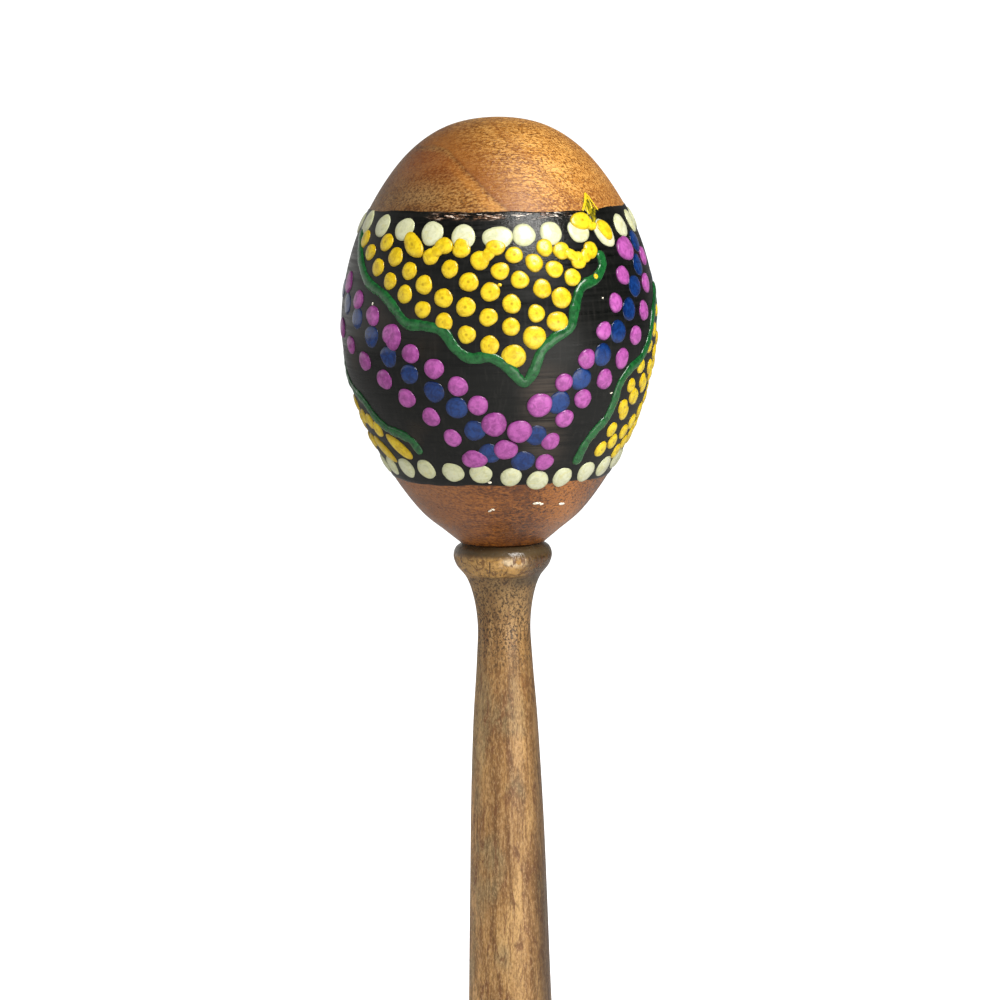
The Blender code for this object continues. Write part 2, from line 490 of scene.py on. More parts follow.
def head_wood(name, light, middle, dark, streak, speckle):
    """Varnished wood, grain across the maraca: fine dashes, slow changes of tone, flecks and painted
    glints.

    It gives the look so far, and the noises of the fibre and of the flecks and glints.
    """
    look = Look(name)
    broad = look.noise((26, 60, 170), shift=(3, 1, 7), detail=3, distortion=0.5)
    lines = look.noise((90, 500, 1500), shift=(1, 5, 2), detail=4, roughness=0.6, distortion=0.2)
    fibre = look.noise((420, 2200, 3600), detail=3, roughness=0.65)
    flecks_and_glints = look.noise((1400, 2600, 2600), detail=2, roughness=0.7)
    look.ramp(look.span(broad, 0.3, 0.7), (0.0, dark), (0.5, middle), (1.0, light))
    look.tint(lines, 0.5, 0.7, 0.5, streak)
    look.tint(lines, 0.5, 0.3, 0.4, light)
    look.tint(fibre, 0.5, 0.68, 0.6, light)
    look.tint(fibre, 0.5, 0.32, 0.4, streak)
    look.tint(flecks_and_glints, 0.51, 0.62, speckle, streak)
    # Pale flecks: partly the wood's own, partly painted glints where the varnish sparkles.
    look.tint(flecks_and_glints, 0.49, 0.38, speckle * 0.8, light)
    return look, fibre, flecks_and_glints


def crown_wood():
    """Orange-brown wood with painted shade to the left, where a growth ring arches over and slants
    down.
    """
    look, fibre, flecks_and_glints = head_wood(
        "crown_wood", (252, 194, 108), (202, 134, 52), (162, 98, 34), (106, 60, 20), 0.75
    )
    x, y, z = look.split()
    # Painted shade: darker towards the left. Then a duller orange near the right edge.
    look.shade(x, 0.012, -0.020, (0.32, 0.32, 0.44))
    look.tint(x, 0.010, 0.023, 0.4, (160, 98, 44))

    # The growth ring follows a slanting line and a level one: metres below each, and inside both.
    waver = look.product(look.less(look.noise((150, 150, 150)), 0.5), 0.0016)
    slant = look.sum(z, waver, look.product(x, 0.99))
    depth = look.product(look.less(0.1995, slant), 0.71)
    below = look.less(0.2094, look.sum(z, waver))
    inside = look.math("SMOOTH_MIN", depth, below, 0.002)
    front = look.span(y, 0.004, -0.012)
    arch = look.product(look.span(inside, -0.0004, 0.0012), front)
    look.over((138, 70, 26), arch, look.span(below, 0.010, 0.002, 0.0, 0.6))
    pale = look.strip(depth, 0.0005, 0.0022, 0.0006)
    look.over((206, 138, 58), pale, look.span(z, 0.208, 0.203, 0.0, 0.35))
    line = look.product(look.strip(inside, -0.0007, 0.0001, 0.00045), front)
    look.over((104, 54, 20), line, look.span(z, 0.2094, 0.2070, 0.3, 0.7))
    beside = look.product(look.span(inside, 0.0, -0.0006), front)
    look.over((150, 90, 36), beside, look.span(inside, -0.0090, -0.0004, 0.0, 0.7))
    second = look.strip(look.less(0.2143, slant), 0.0002, 0.0016, 0.0008)
    look.over((140, 80, 30), second, front, 0.4)

    look.bump(look.sum(fibre, look.product(flecks_and_glints, 1.2)), 0.00016, 0.8)
    rough = look.span(fibre, 0.3, 0.7, 0.30, 0.50)
    return look.coated(rough, specular=0.42, coat=0.1, coat_roughness=0.3)


def bowl_wood():
    """Redder, darker wood: pinkish at the left, with dark pores crowding on the front's right."""
    look, fibre, _ = head_wood(
        "bowl_wood", (180, 112, 46), (138, 79, 32), (110, 60, 24), (68, 34, 12), 0.7
    )
    x, y, z = look.split()
    front = look.span(y, 0.004, -0.006)
    look.tint(x, -0.002, -0.016, 0.45, (148, 100, 70))
    look.over((206, 132, 64), look.strip(x, 0.0095, 0.0150, 0.003), front, 0.55)

    # A dark mottled column down the middle, pores, and one dark fleck above the bead.
    mottled = look.noise((500, 500, 330), shift=(2, 6, 1), detail=4, roughness=0.7)
    column = look.product(look.strip(x, 0.0002, 0.0066, 0.0025), front)
    look.over((94, 50, 20), column, look.span(mottled, 0.36, 0.62, 0.0, 0.75))
    pores = look.noise((1500, 1900, 2300), shift=(5, 5, 5), detail=2, roughness=0.7)
    crowd = look.span(x, -0.004, 0.004, 0.2, 1.0)
    pitted = look.product(crowd, look.span(pores, 0.53, 0.64, 0.0, 0.85))
    look.over((62, 30, 12), pitted)
    fleck = look.patch(x, (0.0034, 0.0046, 0.0003), z, (0.1339, 0.1342, 0.0002))
    look.over((40, 26, 16), fleck, front, 0.8)

    look.bump(look.less(fibre, look.product(pitted, 0.8)), 0.00010, 0.7)
    rough = look.span(fibre, 0.3, 0.7, 0.26, 0.42)
    return look.coated(rough, specular=0.4, coat=0.25, coat_roughness=0.12)


def handle_wood():
    """Open-grained wood, its grain along the handle: tan with darker streaks, and short dark pores."""
    look = Look("handle_wood")
    x, y, z = look.split()
    front = look.span(y, 0.0, -0.002)
    broad = look.noise((210, 210, 30), detail=4, distortion=0.8)
    streaks = look.noise((900, 900, 60), shift=(4, 2, 1), detail=4, roughness=0.6, distortion=0.7)
    pores = look.noise((2600, 2600, 900), shift=(9, 4, 3), detail=2, roughness=0.6, distortion=0.4)
    clouds = look.noise((110, 110, 60), shift=(2, 8, 5), detail=3)
    grains = look.noise((2800, 2800, 1100), shift=(7, 7, 7), detail=2, roughness=0.7)
    warm = look.noise((420, 420, 130), shift=(8, 3, 2), detail=5, roughness=0.7, distortion=1.0)
    shades = (0.0, (126, 89, 50)), (0.5, (168, 126, 74)), (1.0, (202, 160, 102))
    look.ramp(look.span(broad, 0.3, 0.7), *shades)
    look.tint(streaks, 0.5, 0.64, 0.85, (108, 72, 34))
    look.tint(streaks, 0.46, 0.28, 0.6, (206, 164, 112))
    look.tint(clouds, 0.5, 0.66, 0.6, (134, 118, 84))
    look.tint(warm, 0.51, 0.64, 0.8, (116, 74, 42))
    look.tint(warm, 0.46, 0.34, 0.4, (196, 152, 100))
    look.tint(grains, 0.51, 0.64, 0.45, (98, 64, 30))
    look.tint(grains, 0.49, 0.36, 0.35, (216, 178, 126))

    # Darker at the neck, where the pores crowd; painted shade on the right, and painted light on the
    # left.
    look.tint(z, 0.090, 0.112, 0.35, (134, 100, 56))
    crowd = look.span(z, 0.085, 0.114, 0.4, 1.0)
    pitted = look.product(crowd, look.span(pores, 0.54, 0.66, 0.0, 0.7))
    look.over((66, 42, 20), pitted)
    look.shade(x, 0.0036, 0.0072, (0.37, 0.36, 0.36))
    look.shade(x, -0.0025, -0.0075, (1.5, 1.5, 1.55))

    # The bead: golden but for its shaded right, brown blotches, dots, a painted varnish highlight, and
    # cracks.
    bead = look.product(look.span(z, 0.1238, 0.1246), look.span(z, 0.1290, 0.1276))
    look.over((228, 176, 98), bead, look.span(x, 0.0052, 0.0024), 0.6)
    blotches = look.noise((620, 620, 700), shift=(6, 2, 9), detail=4, roughness=0.7, distortion=1.2)
    look.over((104, 70, 36), bead, look.span(blotches, 0.48, 0.60, 0.0, 0.8))
    look.over((104, 86, 54), bead, look.span(x, -0.0040, -0.0080, 0.0, 0.3))
    dots = look.noise((2300, 2300, 2100), shift=(1, 9, 2), detail=1)
    dots = look.product(look.span(x, 0.003, 0.006, 0.25, 1.0), look.span(dots, 0.60, 0.66, 0.0, 0.85))
    look.over((40, 28, 16), bead, dots)
    # Painted highlight: a pale broken patch on the bead's front, where its varnish would shine.
    patches = look.noise((900, 900, 500), shift=(5, 1, 2), detail=2)
    patches = look.product(front, look.span(patches, 0.36, 0.56, 0.0, 0.75))
    patch = look.patch(x, (-0.0002, 0.0042, 0.0012), z, (0.1264, 0.1280, 0.0006))
    look.over((250, 226, 186), patch, patches)
    cracks = look.noise((1500, 1500, 90), shift=(1, 3, 8), detail=1)
    cracks = look.product(bead, look.span(cracks, 0.60, 0.68, 0.0, 0.8))
    look.over((96, 54, 26), cracks)
    gash = look.patch(x, (-0.00275, -0.00255, 0.00012), z, (0.1251, 0.1276, 0.0003))
    gash = look.product(gash, front)
    look.over((52, 30, 14), gash)

    # Under the bead: a paler neck, shade on its right, and specks. Then the crease over it is darker.
    neck = look.product(look.span(z, 0.1244, 0.1234), look.span(z, 0.112, 0.122, 0.0, 0.4))
    look.over((120, 98, 62), neck)
    shadow = look.product(look.strip(z, 0.1222, 0.1240, 0.0008), look.span(x, 0.0, 0.0035), front)
    look.over((58, 52, 38), shadow, 0.6)
    specks = look.noise((2300, 2300, 1900), shift=(4, 9, 6), detail=2, roughness=0.65)
    specks = look.product(look.span(specks, 0.51, 0.60, 0.0, 0.9), look.span(z, 0.102, 0.112))
    look.over((66, 46, 24), specks, look.span(z, 0.1246, 0.1236))
    # Darker in the crease where the bead meets the bowl.
    crease_darkening = look.span(clouds, 0.25, 0.6, 0.8, 1.0)
    look.over((96, 80, 56), look.span(z, 0.1276, 0.1290), crease_darkening)

    lumps = look.noise((520, 520, 900), shift=(3, 5, 1), detail=3, roughness=0.6)
    relief = look.sum(look.less(streaks, look.sum(pitted, gash, cracks)), look.product(grains, 0.4))
    look.bump(look.sum(relief, look.product(bead, lumps, 9.0)), 0.00013, 0.6)
    rough = look.span(streaks, 0.3, 0.7, 0.32, 0.5)
    rough = look.less(rough, look.product(look.span(z, 0.1246, 0.1262), 0.22))
    return look.coated(rough, specular=0.35, coat=0.22, coat_roughness=0.2)


def band_paint():
    """Black brushed paint: fine strokes, thin brown places, a painted reflection, and a scuffed strip
    at the front's top.
    """
    look = Look("black_paint")
    x, y, z = look.split()
    front = look.span(y, 0.0, -0.01)
    strokes = look.noise((60, 60, 1500), detail=4, roughness=0.6)
    upright = look.noise((1600, 1600, 60), shift=(2, 2, 5), detail=3)
    thin = look.noise((55, 55, 70), shift=(6, 3, 1), detail=4)
    look.ramp(strokes, (0.3, (7, 9, 8)), (0.75, (22, 23, 21)))
    look.tint(upright, 0.5, 0.7, 0.3, (46, 44, 42))
    look.tint(thin, 0.56, 0.75, 0.3, (74, 60, 46))

    # Painted reflection of the floor, brownish, beside the lowest purple dots.
    brown = look.patch(x, (0.0050, 0.0115, 0.003), z, (0.149, 0.167, 0.004))
    look.over((80, 70, 62), brown, front, look.span(strokes, 0.34, 0.6, 0.2, 0.75))

    # The scuffed strip, down to wood in places and with painted glints, and a wrinkled gloss below it
    # on the right.
    scuffs = look.noise((620, 620, 2900), shift=(3, 9, 2), detail=3, roughness=0.7, distortion=0.5)
    patches = look.noise((150, 150, 500), shift=(8, 1, 6), detail=3)
    strip = look.patch(x, (-0.0115, 0.0135, 0.003), z, (0.1961, 0.1973, 0.0004))
    strip = look.product(strip, front)
    scuffed = look.product(look.span(patches, 0.42, 0.56), look.span(scuffs, 0.46, 0.60, 0.0, 0.8))
    look.over((160, 116, 86), strip, scuffed)
    # Painted glints: near-white specks along the scuffed strip.
    look.over((236, 222, 208), strip, look.span(scuffs, 0.57, 0.64))
    wrinkles = look.noise((1500, 1500, 2100), shift=(4, 4, 4), detail=3, roughness=0.7)
    glossy = look.product(look.strip(x, 0.001, 0.0145, 0.004), look.span(z, 0.184, 0.192), front)
    glossy = look.math("MAXIMUM", glossy, strip)

    relief = look.sum(strokes, look.product(thin, 0.6), look.product(upright, 0.3))
    look.bump(look.sum(relief, look.product(glossy, wrinkles, 2.5)), 0.00007, 0.6)
    rough = look.less(look.span(strokes, 0.3, 0.7, 0.26, 0.42), look.product(glossy, 0.1))
    return look.set(Base_Color=look.tone, Roughness=rough, Specular_IOR_Level=0.28)


def thick_paint(name, pale, main, deep, swirl=None, roughness=0.32, mottle=0.5, edge=0.6, dimple=0.0):
    """A glossy blob of paint: paler on its crown, deeper at its rim, and no two quite the same.

    swirl is a colour that marbles it, and dimple darkens its middle.
    """
    look = Look(name)
    look.tone = rgb(*main)
    rim = look.attribute("rim")
    mottled = look.noise((900, 900, 900), detail=4, roughness=0.6, distortion=0.8)
    # Paler by each dab's tone: random, plus painted light towards the right.
    look.tint(look.attribute("tone"), 0.0, 1.0, 0.6, pale)
    look.tint(mottled, 0.42, 0.7, mottle, pale)
    look.tint(mottled, 0.56, 0.32, mottle, deep)
    if swirl:
        marbled = look.noise((380, 380, 380), shift=(1, 2, 3), detail=3, distortion=2.5)
        look.tint(marbled, 0.52, 0.66, 0.5, swirl)
    look.over(deep, look.span(rim, 0.27, 0.05), look.span(mottled, 0.40, 0.56), dimple)
    look.tint(rim, 0.66, 1.0, edge, deep)
    look.bump(mottled, 0.00008, 0.5)
    return look.coated(roughness, specular=0.4, coat=0.25, coat_roughness=0.1)


def seed_skin():
    """The hard dark coat of a seed, with a faint mottle."""
    look = Look("seed_skin")
    mottled = look.noise((500, 500, 500), detail=4)
    look.ramp(mottled, (0.35, (34, 24, 18)), (0.7, (84, 62, 44)))
    look.bump(mottled, 0.00008, 0.5)
    return look.set(Base_Color=look.tone, Roughness=look.span(mottled, 0.3, 0.7, 0.25, 0.45))


# ---- The wooden pieces


def wander(angle, height):
    """The hand-turned wood's slight unevenness, in millimetres."""
    return 0.03 * sin(2 * angle + height / 11) + 0.02 * sin(3 * angle - height / 7)


def build_upper_shell(material):
    outer = above(smooth_curve(HEAD_OUTLINE, SHELL_STEPS), JOINT + GAP / 2)
    recess_top = JOINT + LIP_HEIGHT + GAP
    recess = [(LIP_RADIUS + GAP, JOINT + GAP / 2), (LIP_RADIUS + GAP, recess_top)]
    inner = above(smooth_curve(CAVITY_OUTLINE, CHAMBER_STEPS), recess_top)
    made = turned("crown_shell", outer + recess + inner[::-1], material)
    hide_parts("upper_shell")
    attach(made, INSTRUMENT)


def build_lower_shell(material):
    outer = below(smooth_curve(HEAD_OUTLINE, SHELL_STEPS), JOINT - GAP / 2)
    inner = below(smooth_curve(CAVITY_OUTLINE, CHAMBER_STEPS), JOINT + LIP_HEIGHT)
    socket = [(TENON_RADIUS + GAP, HANDLE_TOP + GAP)]
    lip = [(LIP_RADIUS, JOINT + LIP_HEIGHT), (LIP_RADIUS, JOINT - GAP / 2)]
    made = turned("bowl_shell", outer + socket + inner[::-1] + lip, material, ring=True)
    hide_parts("lower_shell")
    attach(made, INSTRUMENT)


def build_handle(material):
    chamfer = 0.8
    tenon = [
        (0.0, TENON_TOP),
        (TENON_RADIUS - chamfer, TENON_TOP),
        (TENON_RADIUS, TENON_TOP - chamfer),
        (TENON_RADIUS, HANDLE_TOP),
    ]
    body = smooth_curve(HANDLE_OUTLINE, HANDLE_STEPS)
    made = turned("turned_handle", [*tenon, *body, (0.0, 0.0)], material, segments=128, wander=wander)
    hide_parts("handle")
    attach(made, INSTRUMENT)


def build_seeds(material):
    """Each seed is a slightly flattened ball with a shallow scar, and rides on its own body."""
    radius, flattening = 2.7, 0.9
    scar_edge, scar_depth = 0.93, 0.06
    turns = radians(137.5), radians(61.0)  # from each seed to the next, so that no two lie alike
    mesh = bpy.data.meshes.new("seed_shape")
    shape = bmesh.new()
    bmesh.ops.create_icosphere(shape, subdivisions=3, radius=radius * MM)
    for vertex in shape.verts:
        scar = max(0.0, vertex.co.normalized().x - scar_edge) / (1 - scar_edge)
        vertex.co *= 1 - scar_depth * scar
        vertex.co.z *= flattening
    shape.to_mesh(mesh)
    shape.free()
    mesh.shade_smooth()
    mesh.materials.append(material)
    seeds = sorted(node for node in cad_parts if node.startswith("seed_"))
    for number, node in enumerate(seeds, start=1):
        low, high = (Vector(corner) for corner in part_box(node))
        made = linked(f"{node}_coat", mesh)
        made.location = (low + high) / 2
        made.rotation_euler = (number * turns[0], number * turns[1], 0)
        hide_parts(node)
        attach(made, node)


# ---- The paint


def band_edge(around, seed):
    """How far the band's painted edge wavers at some degrees round it, in millimetres."""
    waves = ((3, 0.16), (7, 0.09), (13, 0.06), (29, 0.04))  # how many to a turn, and how deep
    return sum(depth * np.sin(rate * np.radians(around) + seed * rate) for rate, depth in waves)


def build_band(material):
    """The band is a thin closed ring, whose inside is hidden just below the wood's surface."""
    columns, rows, hidden_rows = 360, 96, 12
    around = np.linspace(0, 360, columns, endpoint=False)
    top = BAND_TOP + band_edge(around, 1.0)
    bottom = BAND_BOTTOM + band_edge(around, 2.3)
    outside = [(share, PAINT) for share in np.linspace(0.004, 0.996, rows)]
    inside = [(share, -PAINT) for share in np.linspace(1.0, 0.0, hidden_rows)]
    section = [*outside, (1.0, PAINT / 2), *inside, (0.0, PAINT / 2)]
    points = [HEAD.place(around, bottom + (top - bottom) * share, proud) for share, proud in section]
    faces = grid_faces(len(points), columns, True)
    made = add_object("black_band", np.concatenate(points).tolist(), faces, material)
    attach(made, INSTRUMENT)


# Rows of dots on the front half of the pattern, each on a smooth line through its guide places:
# guide places, how many, diameter, thickness, lift (0 if left out), ease (1 if left out).
FRONT_ROWS = {
    "blue": [
        (
            [(-84, 182), (-61, 176.2), (-35.5, 166.8), (-16, 159.5), (-5, 151.2)],
            10, 4.2, 0.25, 0, 0.97,
        ),
        (
            [(14.5, 154.6), (22, 160.4), (40, 169.6), (55.5, 178.8), (67, 186.7), (71, 190.6)],
            9, 4.5, 0.25, 0, 0.86,
        ),
    ],
    "purple": [
        (
            [(-74, 183.2), (-51, 177.3), (-32.5, 170.5), (-16.5, 165), (-2, 157)],
            9, 4, 0.4, 0.08, 0.92,
        ),
        ([(-79, 174.4), (-48, 165.3), (-29.5, 158.8), (-12, 150)], 8, 3.9, 0.4, 0.08),
        ([(15, 160.5), (33, 169.4), (47, 179.5), (59.5, 189.6)], 7, 3.8, 0.4, 0.12),
        (
            [(19.5, 148.9), (25.5, 157.4), (42, 164.7), (58, 172.6), (66, 178.2), (75, 187.6)],
            10, 3.9, 0.4, 0.08, 1.07,
        ),
    ],
    "yellow": [
        ([(-67, 192.2), (-52, 187), (-35, 181.4), (-20, 176.7), (5.4, 170.2)], 10, 3.5, 0.42),
        ([(-50, 191.5), (-36, 186.6), (-20.5, 181.7), (-3, 177.6), (12.4, 173.7)], 9, 3.6, 0.42, 0.05),
        ([(-26, 189.2), (-18.5, 186.8), (-2.5, 182.1), (21, 176.5)], 7, 3.6, 0.42, 0.05),
        ([(-14.3, 190.3), (-6, 188.4), (0.7, 186.3), (23, 181)], 6, 3.6, 0.42, 0.05),
        ([(6, 189.3), (20, 186.5), (28.5, 185)], 4, 3.5, 0.42, 0.05),
        ([(17.7, 190.7), (25.6, 189.8), (33, 187.8), (38, 189.6)], 4, 3.5, 0.42, 0.1),
    ],
}
# Rows of yellow dots inside the two side triangles, which differ: the right one's, then the left one's.
SIDE_ROWS = [
    ([(60, 162.8), (70, 169), (83, 176.5)], 5, 3, 0.4),
    ([(57, 158.5), (69, 162.9), (88, 171)], 6, 3.1, 0.4),
    ([(54, 154.1), (64, 159.6), (88, 166)], 6, 3.1, 0.4),
    ([(50.5, 150.6), (59, 151.8), (68, 153.8), (93, 161)], 7, 3.2, 0.4),
    ([(67, 149.4), (75, 151.5), (97, 156.4), (110, 155.4)], 8, 3.2, 0.4),
    ([(88, 151.2), (95, 151.9), (102, 151.6)], 3, 3, 0.4),
    ([(240, 164), (247, 169.5), (254, 174)], 4, 3, 0.4),
    ([(237, 159), (248, 164), (257, 168.8)], 5, 3.1, 0.4),
    ([(234, 154.4), (245, 159), (263, 163.6)], 6, 3.1, 0.4),
    ([(230.5, 150.6), (240, 152.4), (260, 158.4), (277, 159)], 9, 3.2, 0.4),
    ([(247, 149.8), (262, 153.4), (287, 156.8), (297, 154.7)], 9, 3.3, 0.4),
    ([(269, 150.9), (276, 151.9), (283, 151.9)], 3, 3, 0.4),
]
# Single dabs on the front half: colour, place, (width, height), turn in degrees, thickness, lift.
FRONT_DABS = [
    ("blue", (9.8, 149.3), (4.7, 4.5), 0, 0.25, 0),
    ("purple", (2, 151.8), (4.6, 4.3), 0, 0.42, 0.2),
    ("purple", (-12, 149.8), (5.2, 3.8), 0, 0.42, 0.1),
    ("purple", (-2.6, 156.9), (5, 5), 0, 0.45, 0.1),
    ("purple", (7.5, 155.4), (4.8, 4.8), 0, 0.45, 0.2),
    ("purple", (15, 160.5), (5.1, 4.7), 20, 0.45, 0.2),
    ("purple", (-41, 173.7), (4.1, 5.4), 0, 0.42, 0.1),
    ("purple", (59.5, 189.4), (5.9, 5), 0, 0.42, 0.15),
    ("yellow", (5, 170.2), (4.8, 4.5), 0, 0.5, 0),
    ("yellow", (12.4, 173.7), (4.7, 4.4), 0, 0.5, 0),
    ("yellow", (21, 176.5), (4.3, 4.1), 0, 0.45, 0),
    ("yellow", (23, 181), (4.2, 4), 0, 0.45, 0),
    ("yellow", (-35, 191.2), (6.2, 3.5), -44, 0.42, 0.2),
    ("yellow", (-21.4, 191.1), (3.7, 3.4), 0, 0.4, 0.2),
    ("yellow", (-24, 190.2), (3.6, 2.4), 38, 0.36, 0.15),
    ("yellow", (-14.2, 191.2), (3, 2.8), 0, 0.36, 0.2),
    ("yellow", (-0.9, 190.8), (3.6, 3.4), 0, 0.4, 0.2),
    ("yellow", (-3.4, 189.6), (3.6, 2.4), 48, 0.36, 0.15),
    ("yellow", (29.4, 188.8), (4.6, 2.2), -35, 0.42, 0.15),
    ("yellow", (35.8, 188.8), (3.2, 2.6), 48, 0.42, 0.15),
    ("yellow", (0.5, 183.8), (0.8, 0.7), 0, 0.2, 0),
    ("yellow", (38, 184.6), (1.1, 1.1), 0, 0.3, 0.3),
    ("yellow", (129, 151.6), (7.4, 3.2), -38, 0.4, 0),
    ("yellow", (114, 150.6), (8, 3), -40, 0.4, 0),
    ("white", (0, 192.6), (5.9, 4.7), 0, 0.4, 0),
    ("white", (48.5, 192.7), (6.2, 4.9), -50, 0.4, 0),
    ("yellow", (37, 195.1), (4.7, 3.7), 0, 0.38, 0.3),
    ("yellow", (41.8, 194.5), (2.8, 2.7), 60, 0.32, 0.25),
    ("olive", (43.2, 195.2), (1.8, 2.6), -20, 0.3, 0.3),
    ("yellow", (48.7, 193.2), (4.5, 3.4), -50, 0.3, 0.35),
]
# Rows of white dots round the band's edges, all the way round.
WHITE_ROWS = [
    ([(-73, 195), (-56, 194.6), (-40.5, 193.9), (-14, 192.8), (0, 192.6)], 6, 4.8, 0.38, 0, 0.93),
    ([(10.5, 193), (35, 193.2), (47.5, 192.9), (61, 193.8), (77, 194.4)], 6, 4.7, 0.38, 0, 1.1),
    ([(91, 194.6), (180, 193.6), (272, 194.5)], 14, 4.7, 0.38),
    ([(-67, 147.2), (-24, 147.2), (4, 146), (16, 145.1), (31, 145.5), (61, 146.5)], 10, 4.5, 0.38),
    ([(74, 147.4), (180, 146.6), (280, 147)], 15, 4.5, 0.38),
]
# The green trails' guide places: one on the front half, and one round each side triangle.
FRONT_TRAIL = [
    (-76, 193.5), (-66, 188), (-57, 184), (-46, 181.5), (-40, 179), (-35, 176.5), (-27, 176),
    (-20, 175), (-16, 172), (-11, 170), (-3, 170), (3, 168), (9, 165), (12, 167), (15, 171),
    (20, 173.5), (26, 175.5), (28, 179), (31, 182.5), (39, 184.5), (43, 187), (42.5, 189.5),
]
SIDE_TRAILS = [
    [
        (37, 147.8), (39, 151.5), (43, 154.5), (48, 157), (50, 160), (51, 163), (56, 166), (64, 168),
        (71, 172), (75, 176), (82, 179), (89, 181), (95, 176), (98, 169), (103, 162), (114, 160.2),
        (119, 157.2), (126, 155.2), (134, 154.2), (139, 153), (142, 150.5),
    ],
    [
        (217, 147.8), (219, 151.5), (223, 154.5), (228, 157), (230, 160), (231, 163), (235, 166),
        (240, 169), (244, 173), (248, 177), (253, 179.5), (258, 177.5), (260, 172.5), (264, 168),
        (272, 165), (282, 162.4), (293, 160.2), (299, 157.2), (306, 155.2), (314, 154.2), (319, 153),
        (322, 150.5),
    ],
]
TRAIL_WIDTH, TRAIL_THICKNESS = 2.1, 0.42
HALVES = (0, 180)  # the back repeats the front half, turned round
# A finger's smear of wet paint over the front's top edge: colour, guide places, width, thickness.
SMEAR = [
    ("olive", [(46.3, 199.5), (45.2, 198.2), (44.8, 196.6), (44.4, 195.2), (43.4, 194.3)], 2.3, 0.10),
    ("olive", [(42, 197.6), (44, 197), (48.6, 197.2)], 1.3, 0.10),
    ("yellow", [(46.2, 199.6), (45, 198.4), (43.6, 197.5)], 1.3, 0.07),
    ("yellow", [(46.6, 200.4), (44.4, 199), (42, 197.9), (40.2, 197)], 0.55, 0.13),
    ("yellow", [(46.8, 200.3), (48.3, 198.7), (50, 197)], 0.4, 0.11),
    ("yellow", [(46.4, 199.4), (46.6, 198.2), (46, 197.2)], 0.4, 0.12),
    ("yellow", [(43.6, 197.9), (43, 196.9), (43.8, 195.9)], 0.4, 0.12),
]
# Dried varnish spots on the bowl and band, near-white as painted glints: place, (width, height), turn
# in degrees.
SPOTS = [
    ((21.2, 140.2), (1.7, 0.5), 4),
    ((24.3, 140), (0.8, 0.4), 20),
    ((39.5, 139.6), (1.5, 0.5), -3),
    ((-7.6, 138.9), (0.9, 0.35), 30),
    ((-5.6, 139.2), (0.7, 0.3), -25),
    ((-6, 145), (0.8, 0.6), 0),
    ((40.5, 180.5), (0.45, 0.4), 0),
    ((-52, 179.8), (0.6, 0.35), 70),
    ((47, 161.8), (0.8, 0.25), 10),
]
SPOT_THICKNESS = 0.16
# Each paint's palest, main and deepest colour, and what is special about it.
PAINTS = {
    "white": ((234, 236, 207), (218, 220, 178), (186, 190, 146), {"swirl": (218, 212, 134)}),
    "blue": ((28, 72, 142), (6, 42, 104), (3, 20, 58), {"roughness": 0.2}),
    "purple": ((212, 112, 200), (164, 70, 152), (114, 40, 108), {"dimple": 0.4}),
    "yellow": ((252, 228, 50), (234, 198, 14), (184, 148, 0), {"dimple": 0.9}),
    "olive": ((196, 176, 20), (92, 92, 18), (26, 30, 12), {"mottle": 0.9}),
    "green": ((40, 116, 56), (14, 82, 38), (5, 44, 22), {"roughness": 0.22, "edge": 0.2}),
    # The varnish's near-white colours are painted glints on raised spots.
    "varnish": ((255, 252, 240), (250, 244, 222), (226, 204, 160), {"roughness": 0.08, "edge": 0.1}),
}
# The piece's and the material's names. The others are called after their colour.
PIECES = {"varnish": ("varnish_spots_and_glints", "varnish_with_painted_glints")}


def build_paint():
    """All the raised paint, one mesh for each colour."""
    rng = random.Random(20)
    reliefs = {colour: Relief() for colour in PAINTS}

    def row(colour, half, guide, count, diameter, thickness, lift=0.0, ease=1.0):
        stray = 0.25 if half == 0 else 0.6  # how far a dot is from its even place, in millimetres
        for around, height in even_spots(guide, count, ease):
            spot = HEAD.shift(around + half, height, rng.gauss(0, stray / 2), rng.gauss(0, stray / 2))
            size = diameter * rng.uniform(0.95, 1.06)
            shape = (size * rng.uniform(0.96, 1.04), size)
            dab(reliefs[colour], spot, shape, thickness, rng, lift=lift, turn=rng.uniform(0, pi))

    for values in WHITE_ROWS:
        row("white", 0, *values)
    for half in HALVES:
        for colour, rows in FRONT_ROWS.items():
            for values in rows:
                row(colour, half, *values)
        for colour, (around, height), size, turn, thickness, lift in FRONT_DABS:
            spot = (around + half, height)
            dab(reliefs[colour], spot, size, thickness, rng, lift=lift, turn=radians(turn))
        trail = [(around + half, height) for around, height in FRONT_TRAIL]
        ridge(reliefs["green"], trail, TRAIL_WIDTH, TRAIL_THICKNESS, rng)
    for values in SIDE_ROWS:
        row("yellow", 0, *values)
    for trail in SIDE_TRAILS:
        ridge(reliefs["green"], trail, TRAIL_WIDTH, TRAIL_THICKNESS, rng)
    for colour, guide, width, thickness in SMEAR:
        ridge(reliefs[colour], guide, width, thickness, rng, step=0.2)
    for place, size, turn in SPOTS:
        dab(reliefs["varnish"], place, size, SPOT_THICKNESS, rng, turn=radians(turn))
    for colour, relief in reliefs.items():
        piece, material = PIECES.get(colour, (f"{colour}_paint", f"{colour}_paint"))
        *shades, finish = PAINTS[colour]
        made = relief.build(piece, thick_paint(material, *shades, **finish))
        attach(made, INSTRUMENT)


# ---- Studio


def direction(around, elevation):
    """Outwards from the maraca: degrees round from the front, anticlockwise from above, and up."""
    around, elevation = radians(around), radians(elevation)
    return Vector((cos(elevation) * sin(around), -cos(elevation) * cos(around), sin(elevation)))


def seen_or_unseen(tree, seen, unseen):
    """One shader where the camera sees it directly, and another for the light that it gives."""
    by_camera = add(tree, "ShaderNodeLightPath").outputs["Is Camera Ray"]
    inputs = {0: by_camera, 1: unseen.outputs[0], 2: seen.outputs[0]}
    return add(tree, "ShaderNodeMixShader", inputs).outputs[0]


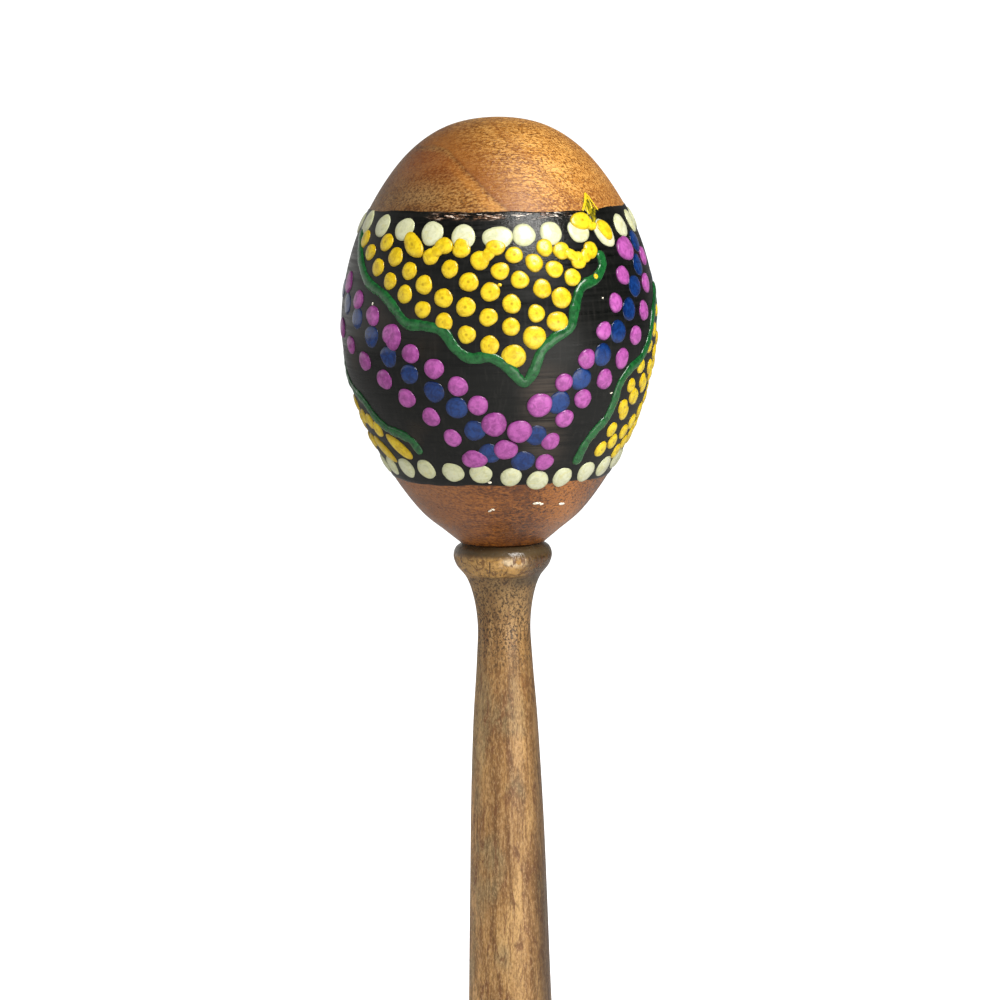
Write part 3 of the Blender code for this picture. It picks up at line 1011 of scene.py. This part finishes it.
def build_world():
    """A white background, and soft light from low on the left that fades to the right and upwards."""
    brightest = (-0.99, -0.1, 0.0)
    world = bpy.data.worlds.new("studio")
    bpy.context.scene.world = world
    tree = empty_tree(world)
    where = add(tree, "ShaderNodeTexCoord").outputs["Generated"]
    inputs = {0: where, 1: brightest}
    toward = add(tree, "ShaderNodeVectorMath", inputs, operation="DOT_PRODUCT").outputs["Value"]
    height = add(tree, "ShaderNodeSeparateXYZ", {0: where}).outputs[2]
    side = map_range(tree, toward, -0.9, 1.0, 0.04, 1.0)
    dome = map_range(tree, height, 0.0, 0.6, 1.0, 0.1)
    level = add(tree, "ShaderNodeMath", {0: side, 1: dome}, operation="MULTIPLY").outputs[0]
    soft = add(tree, "ShaderNodeBackground", {"Color": (1.0, 0.99, 0.96, 1), "Strength": level})
    white = add(tree, "ShaderNodeBackground", {"Color": (1, 1, 1, 1), "Strength": 1.2})
    add(tree, "ShaderNodeOutputWorld", {"Surface": seen_or_unseen(tree, white, soft)})


def build_floor():
    """A pale floor just under the maraca, a little dimmer round its foot."""
    half, drop = 1.2, 0.0003
    material = bpy.data.materials.new("studio_floor")
    tree = empty_tree(material)
    place = add(tree, "ShaderNodeTexCoord").outputs["Object"]
    reach = add(tree, "ShaderNodeVectorMath", {0: place}, operation="LENGTH").outputs["Value"]
    strength = map_range(tree, reach, 0.03, 0.13, 0.5, 1.1)
    pale = add(tree, "ShaderNodeBsdfDiffuse", {"Color": (0.9, 0.9, 0.9, 1)})
    glow = add(tree, "ShaderNodeEmission", {"Color": (1, 1, 1, 1), "Strength": strength})
    bright = add(tree, "ShaderNodeAddShader", {0: pale.outputs[0], 1: glow.outputs[0]})
    dim = add(tree, "ShaderNodeBsdfDiffuse", {"Color": (0.8, 0.8, 0.8, 1)})
    add(tree, "ShaderNodeOutputMaterial", {"Surface": seen_or_unseen(tree, bright, dim)})
    mesh = bpy.data.meshes.new("studio_floor")
    corners = [(-half, -half, 0), (half, -half, 0), (half, half, 0), (-half, half, 0)]
    mesh.from_pydata(corners, [], [(0, 1, 2, 3)])
    mesh.materials.append(material)
    made = linked("studio_floor", mesh)
    made.location.z = -drop


def area_light(name, around, elevation, distance, size, power, colour):
    """A rectangular light that faces the head's lower half, and that the camera doesn't see."""
    aim = Vector((0, 0, 0.14))
    data = bpy.data.lights.new(name, "AREA")
    data.shape = "RECTANGLE"
    data.size, data.size_y = size
    data.energy = power
    data.color = colour
    lamp = linked(name, data)
    away = direction(around, elevation)
    lamp.location = aim + away * distance
    lamp.rotation_euler = away.to_track_quat("Z", "Y").to_euler()
    lamp.visible_camera = False


def build_camera():
    """A long lens on the maraca's front, a little above it, and rolled by a degree."""
    distance, elevation, roll = 0.75, 7.2, radians(-0.97)
    aim = Vector((-0.00038, 0, 0.1387))
    camera = linked("camera", bpy.data.cameras.new("camera"))
    camera.data.sensor_width = 36.0
    camera.data.lens = 135.0
    camera.data.clip_start = 0.01
    away = direction(0, elevation)
    facing = away.to_track_quat("Z", "Y").to_matrix().to_4x4() @ Matrix.Rotation(roll, 4, "Z")
    camera.matrix_world = Matrix.Translation(aim + away * distance) @ facing
    bpy.context.scene.camera = camera


def build_studio():
    bpy.context.scene.view_settings.view_transform = "Standard"
    bpy.context.scene.view_settings.look = "None"
    build_world()
    build_floor()
    area_light("key_softbox", 34, 47, 0.9, size=(0.36, 0.45), power=9.8, colour=(1.0, 0.98, 0.95))
    area_light("low_card", 36, -7, 0.5, size=(0.44, 0.14), power=0.6, colour=(1.0, 0.97, 0.92))
    build_camera()


def main():
    build_upper_shell(crown_wood())
    build_lower_shell(bowl_wood())
    build_handle(handle_wood())
    build_seeds(seed_skin())
    build_band(band_paint())
    build_paint()
    build_studio()


main()
